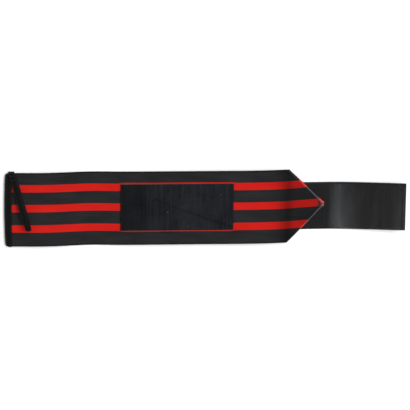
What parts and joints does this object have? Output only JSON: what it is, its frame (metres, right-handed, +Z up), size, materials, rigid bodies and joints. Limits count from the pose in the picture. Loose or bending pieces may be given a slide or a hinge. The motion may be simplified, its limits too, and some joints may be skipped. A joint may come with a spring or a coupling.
{
  "type": "wrist wrap",
  "caption": "Elastic wrist wrap lying open: striped band with a folded point, bound end, thumb loop, loop-pile patch and long hook tab.",
  "frame": {"origin": "on the surface that the wrap lies on, at the middle of its plan", "axes": "+X along the band towards the hook tab, +Y across it towards the edge with the thumb loop, +Z up, out of its face"},
  "size_m": [0.425, 0.0808, 0.0134],
  "materials": {
    "striped_elastic": "ribbed woven elastic, black with three red stripes",
    "binding_tape": "black grosgrain tape",
    "loop_pile": "matt brushed pile",
    "hook_tape": "smooth satin woven backing",
    "loop_tape": "black flat tape"
  },
  "bodies": {
    "root": {"elastic_band": "striped_elastic", "end_binding": "binding_tape", "loop_patch": "loop_pile", "hook_tab": "hook_tape", "thumb_loop": "loop_tape"}
  },
  "joints": []
}
